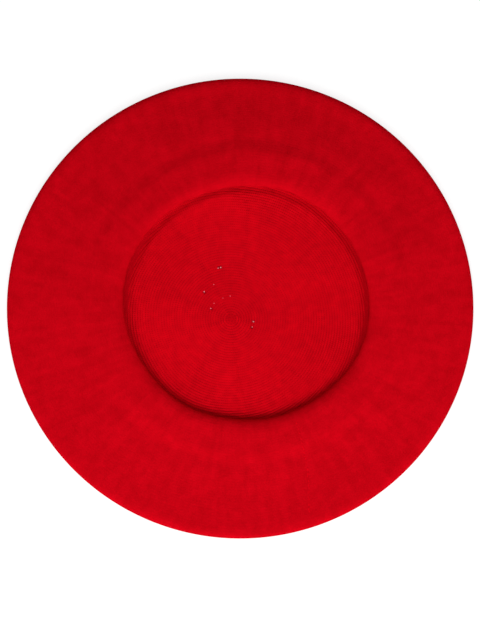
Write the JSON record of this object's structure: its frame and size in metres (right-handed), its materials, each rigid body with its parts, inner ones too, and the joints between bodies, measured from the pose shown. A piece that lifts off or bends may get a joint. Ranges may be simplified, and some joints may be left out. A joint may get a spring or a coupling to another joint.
{
  "type": "beret",
  "caption": "Round knitted wool beret with a turned-in band at the head opening, a rolled elastic edge and a short stalk at the crown's centre.",
  "frame": {"origin": "on the surface that the beret lies on, under the centre of the crown", "axes": "+Z out of the head opening, the beret lying on its crown; the opening's centre is off the origin towards +X and +Y"},
  "size_m": [0.28, 0.2798, 0.014],
  "materials": {
    "wool_outside": "brushed fulled wool",
    "wool_inside": "plain knitted wool",
    "wool_edge": "fulled wool, folded",
    "seam_yarn": "twisted wool yarn",
    "thread": "sewing thread",
    "elastic": "covered round elastic"
  },
  "bodies": {
    "beret": {"crown": "wool_inside", "rim_fold": "wool_outside", "underside": "wool_outside", "opening_roll": "wool_edge", "inner_band": "wool_inside", "elastic_cord": "elastic", "band_stitching": "thread", "linking_seam": "seam_yarn", "centre_gather": "thread", "centre_knot": "thread"},
    "stalk": {"stalk": "wool_outside"}
  },
  "joints": [
    {"name": "stalk_bend", "type": "hinge", "parent": "beret", "child": "stalk", "pos_m": [-0.0056, -0.0063, 0.0012], "axis": [0.8141, -0.5807, 0], "range_deg": [0, 90]}
  ]
}
